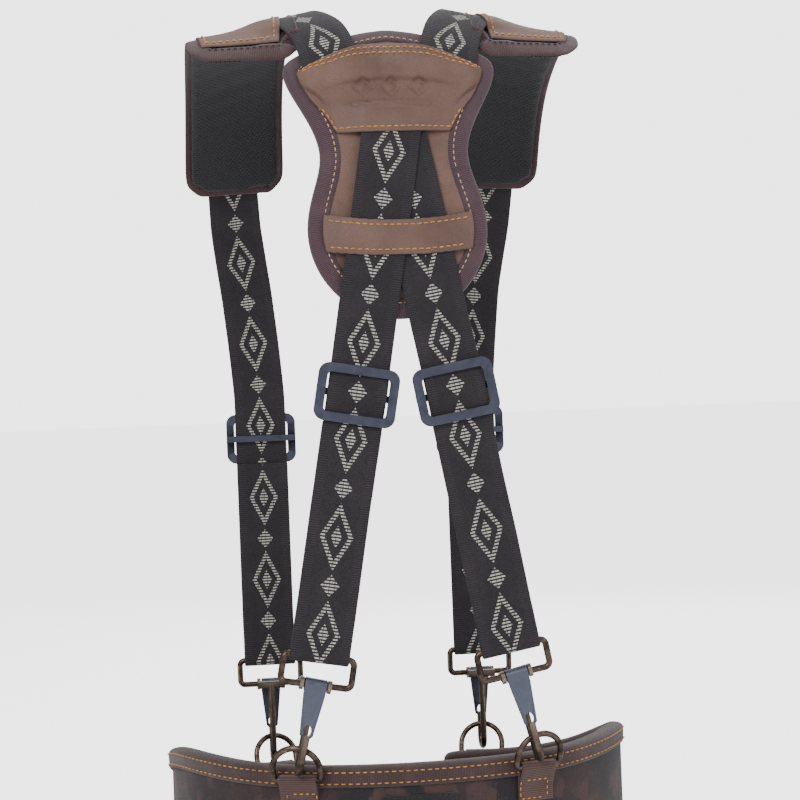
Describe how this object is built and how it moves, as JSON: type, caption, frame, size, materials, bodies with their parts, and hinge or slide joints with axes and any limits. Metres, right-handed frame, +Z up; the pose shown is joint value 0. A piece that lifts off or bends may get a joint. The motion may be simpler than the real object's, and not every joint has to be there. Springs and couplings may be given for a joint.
{
  "type": "lumbar support belt with suspenders",
  "caption": "Padded lumbar support belt carried by shoulder-pad suspenders with a back yoke, slide adjusters and snap hooks.",
  "frame": {"origin": "centre of the waist opening on the belt's flat bottom edge", "axes": "+X to the wearer's right, +Y to the wearer's front, +Z up"},
  "size_m": [0.324, 0.2646, 0.6498],
  "materials": {
    "belt_fabric": "printed woven cloth, matt",
    "foam": "closed-cell foam",
    "lining_mesh": "black knitted spacer mesh",
    "stay_plastic": "flexible plastic stay",
    "binding_tape": "ribbed grosgrain tape, dark brown",
    "leather": "taupe brown oiled leather",
    "webbing": "charcoal polyester jacquard webbing",
    "waist_webbing_black": "black nylon webbing",
    "tab_webbing": "brown ribbed webbing",
    "label_cloth": "black woven label, blank",
    "buckle_plastic": "black acetal",
    "blued_steel": "blue-black coated steel",
    "antique_wire": "antique gunmetal",
    "spring_steel": "tempered blue-grey steel"
  },
  "bodies": {
    "harness": {"back_strap_left": "webbing", "back_strap_right": "webbing", "belt_binding": "binding_tape", "belt_foam_core": "foam", "belt_inner_lining": "lining_mesh", "belt_loops": "waist_webbing_black", "belt_outer_shell": "belt_fabric", "belt_stays": "stay_plastic", "buckle_plug": "buckle_plastic", "buckle_socket": "buckle_plastic", "label_patch": "label_cloth", "pad_binding_left": "binding_tape", "pad_binding_right": "binding_tape", "pad_foam_left": "foam", "pad_foam_right": "foam", "pad_leather_left": "leather", "pad_leather_right": "leather", "pad_lining_left": "lining_mesh", "pad_lining_right": "lining_mesh", "ring_tabs": "tab_webbing", "shoulder_strap_left": "webbing", "shoulder_strap_right": "webbing", "waist_webbing": "waist_webbing_black", "waist_webbing_tail": "waist_webbing_black", "yoke_base_leather": "leather", "yoke_binding": "binding_tape", "yoke_foam": "foam", "yoke_lining": "lining_mesh", "yoke_lower_band": "leather", "yoke_upper_panel": "leather"},
    "strap_end_back_left": {"strap_end_back_left": "webbing"},
    "wire_loop_back_left": {"wire_loop_back_left": "antique_wire"},
    "snap_hook_back_left": {"snap_hook_back_left": "antique_wire"},
    "spring_gate_back_left": {"spring_gate_back_left": "spring_steel"},
    "tri_glide_back_left": {"tri_glide_back_left": "blued_steel"},
    "d_ring_back_left": {"d_ring_back_left": "antique_wire"},
    "strap_end_back_right": {"strap_end_back_right": "webbing"},
    "wire_loop_back_right": {"wire_loop_back_right": "antique_wire"},
    "snap_hook_back_right": {"snap_hook_back_right": "antique_wire"},
    "spring_gate_back_right": {"spring_gate_back_right": "spring_steel"},
    "tri_glide_back_right": {"tri_glide_back_right": "blued_steel"},
    "d_ring_back_right": {"d_ring_back_right": "antique_wire"},
    "strap_end_front_left": {"strap_end_front_left": "webbing"},
    "wire_loop_front_left": {"wire_loop_front_left": "antique_wire"},
    "snap_hook_front_left": {"snap_hook_front_left": "antique_wire"},
    "spring_gate_front_left": {"spring_gate_front_left": "spring_steel"},
    "tri_glide_front_left": {"tri_glide_front_left": "blued_steel"},
    "d_ring_front_left": {"d_ring_front_left": "antique_wire"},
    "strap_end_front_right": {"strap_end_front_right": "webbing"},
    "wire_loop_front_right": {"wire_loop_front_right": "antique_wire"},
    "snap_hook_front_right": {"snap_hook_front_right": "antique_wire"},
    "spring_gate_front_right": {"spring_gate_front_right": "spring_steel"},
    "tri_glide_front_right": {"tri_glide_front_right": "blued_steel"},
    "d_ring_front_right": {"d_ring_front_right": "antique_wire"},
    "buckle_arm_upper": {"buckle_arm_upper": "buckle_plastic"},
    "buckle_arm_lower": {"buckle_arm_lower": "buckle_plastic"},
    "webbing_keeper": {"webbing_keeper": "waist_webbing_black"}
  },
  "joints": [
    {"name": "glide_slide_back_left", "type": "slide", "parent": "harness", "child": "tri_glide_back_left", "axis": [0.1771, 0, 0.9842], "range_m": [0, 0.009]},
    {"name": "strap_shorten_back_left", "type": "slide", "parent": "harness", "child": "strap_end_back_left", "axis": [0.1771, 0, 0.9842], "range_m": [0, 0.0045]},
    {"name": "clip_swing_back_left", "type": "hinge", "parent": "strap_end_back_left", "child": "wire_loop_back_left", "pos_m": [-0.06131, -0.123, 0.22572], "axis": [-0.9842, 0, 0.1771], "range_deg": [0, 18]},
    {"name": "hook_swing_back_left", "type": "hinge", "parent": "wire_loop_back_left", "child": "snap_hook_back_left", "pos_m": [-0.0645, -0.123, 0.208], "axis": [-0.9842, 0, 0.1771], "range_deg": [-18, 0]},
    {"name": "gate_press_back_left", "type": "hinge", "parent": "snap_hook_back_left", "child": "spring_gate_back_left", "pos_m": [-0.0645, -0.123, 0.208], "axis": [0.9724, 0, -0.2334], "range_deg": [0, 6], "stiffness_Nm_per_rad": 0.2},
    {"name": "ring_tilt_back_left", "type": "hinge", "parent": "harness", "child": "d_ring_back_left", "pos_m": [-0.07754, -0.11498, 0.147], "axis": [0.9549, -0.297, 0], "range_deg": [0, 18]},
    {"name": "glide_slide_back_right", "type": "slide", "parent": "harness", "child": "tri_glide_back_right", "axis": [-0.1771, 0, 0.9842], "range_m": [0, 0.009]},
    {"name": "strap_shorten_back_right", "type": "slide", "parent": "harness", "child": "strap_end_back_right", "axis": [-0.1771, 0, 0.9842], "range_m": [0, 0.0045]},
    {"name": "clip_swing_back_right", "type": "hinge", "parent": "strap_end_back_right", "child": "wire_loop_back_right", "pos_m": [0.06131, -0.123, 0.22572], "axis": [-0.9842, 0, -0.1771], "range_deg": [0, 18]},
    {"name": "hook_swing_back_right", "type": "hinge", "parent": "wire_loop_back_right", "child": "snap_hook_back_right", "pos_m": [0.0645, -0.123, 0.208], "axis": [-0.9842, 0, -0.1771], "range_deg": [-18, 0]},
    {"name": "gate_press_back_right", "type": "hinge", "parent": "snap_hook_back_right", "child": "spring_gate_back_right", "pos_m": [0.0645, -0.123, 0.208], "axis": [0.9724, 0, 0.2334], "range_deg": [0, 6], "stiffness_Nm_per_rad": 0.2},
    {"name": "ring_tilt_back_right", "type": "hinge", "parent": "harness", "child": "d_ring_back_right", "pos_m": [0.07754, -0.11498, 0.147], "axis": [0.9549, 0.297, 0], "range_deg": [0, 18]},
    {"name": "glide_slide_front_left", "type": "slide", "parent": "harness", "child": "tri_glide_front_left", "axis": [0, 0, 1], "range_m": [0, 0.009]},
    {"name": "strap_shorten_front_left", "type": "slide", "parent": "harness", "child": "strap_end_front_left", "axis": [0, 0, 1], "range_m": [0, 0.0045]},
    {"name": "clip_swing_front_left", "type": "hinge", "parent": "strap_end_front_left", "child": "wire_loop_front_left", "pos_m": [-0.08, 0.123, 0.194], "axis": [1, 0, 0], "range_deg": [0, 18]},
    {"name": "hook_swing_front_left", "type": "hinge", "parent": "wire_loop_front_left", "child": "snap_hook_front_left", "pos_m": [-0.08, 0.123, 0.176], "axis": [1, 0, 0], "range_deg": [-18, 0]},
    {"name": "gate_press_front_left", "type": "hinge", "parent": "snap_hook_front_left", "child": "spring_gate_front_left", "pos_m": [-0.08, 0.123, 0.176], "axis": [-1, 0, 0], "range_deg": [0, 6], "stiffness_Nm_per_rad": 0.2},
    {"name": "ring_tilt_front_left", "type": "hinge", "parent": "harness", "child": "d_ring_front_left", "pos_m": [-0.07754, 0.11498, 0.115], "axis": [-0.9549, -0.297, 0], "range_deg": [0, 18]},
    {"name": "glide_slide_front_right", "type": "slide", "parent": "harness", "child": "tri_glide_front_right", "axis": [0, 0, 1], "range_m": [0, 0.009]},
    {"name": "strap_shorten_front_right", "type": "slide", "parent": "harness", "child": "strap_end_front_right", "axis": [0, 0, 1], "range_m": [0, 0.0045]},
    {"name": "clip_swing_front_right", "type": "hinge", "parent": "strap_end_front_right", "child": "wire_loop_front_right", "pos_m": [0.08, 0.123, 0.194], "axis": [1, 0, 0], "range_deg": [0, 18]},
    {"name": "hook_swing_front_right", "type": "hinge", "parent": "wire_loop_front_right", "child": "snap_hook_front_right", "pos_m": [0.08, 0.123, 0.176], "axis": [1, 0, 0], "range_deg": [-18, 0]},
    {"name": "gate_press_front_right", "type": "hinge", "parent": "snap_hook_front_right", "child": "spring_gate_front_right", "pos_m": [0.08, 0.123, 0.176], "axis": [-1, 0, 0], "range_deg": [0, 6], "stiffness_Nm_per_rad": 0.2},
    {"name": "ring_tilt_front_right", "type": "hinge", "parent": "harness", "child": "d_ring_front_right", "pos_m": [0.07754, 0.11498, 0.115], "axis": [-0.9549, 0.297, 0], "range_deg": [0, 18]},
    {"name": "arm_press_upper", "type": "hinge", "parent": "harness", "child": "buckle_arm_upper", "pos_m": [0, 0.1227, 0.081], "axis": [0, 1, 0], "range_deg": [0, 10], "stiffness_Nm_per_rad": 0.3},
    {"name": "arm_press_lower", "type": "hinge", "parent": "harness", "child": "buckle_arm_lower", "pos_m": [0, 0.1227, 0.049], "axis": [0, 1, 0], "range_deg": [-10, 0], "stiffness_Nm_per_rad": 0.3},
    {"name": "keeper_slide", "type": "hinge", "parent": "harness", "child": "webbing_keeper", "pos_m": [-0.04179, 0, 0.065], "axis": [0, 0, 1], "range_deg": [-3, 7]}
  ],
  "couplings": [
    {"joint": "strap_shorten_back_left", "follows": "glide_slide_back_left", "ratio": 0.5},
    {"joint": "hook_swing_back_left", "follows": "clip_swing_back_left", "ratio": -1},
    {"joint": "ring_tilt_back_left", "follows": "clip_swing_back_left", "ratio": 1},
    {"joint": "strap_shorten_back_right", "follows": "glide_slide_back_right", "ratio": 0.5},
    {"joint": "hook_swing_back_right", "follows": "clip_swing_back_right", "ratio": -1},
    {"joint": "ring_tilt_back_right", "follows": "clip_swing_back_right", "ratio": 1},
    {"joint": "strap_shorten_front_left", "follows": "glide_slide_front_left", "ratio": 0.5},
    {"joint": "hook_swing_front_left", "follows": "clip_swing_front_left", "ratio": -1},
    {"joint": "ring_tilt_front_left", "follows": "clip_swing_front_left", "ratio": 1},
    {"joint": "strap_shorten_front_right", "follows": "glide_slide_front_right", "ratio": 0.5},
    {"joint": "hook_swing_front_right", "follows": "clip_swing_front_right", "ratio": -1},
    {"joint": "ring_tilt_front_right", "follows": "clip_swing_front_right", "ratio": 1},
    {"joint": "arm_press_lower", "follows": "arm_press_upper", "ratio": -1}
  ]
}
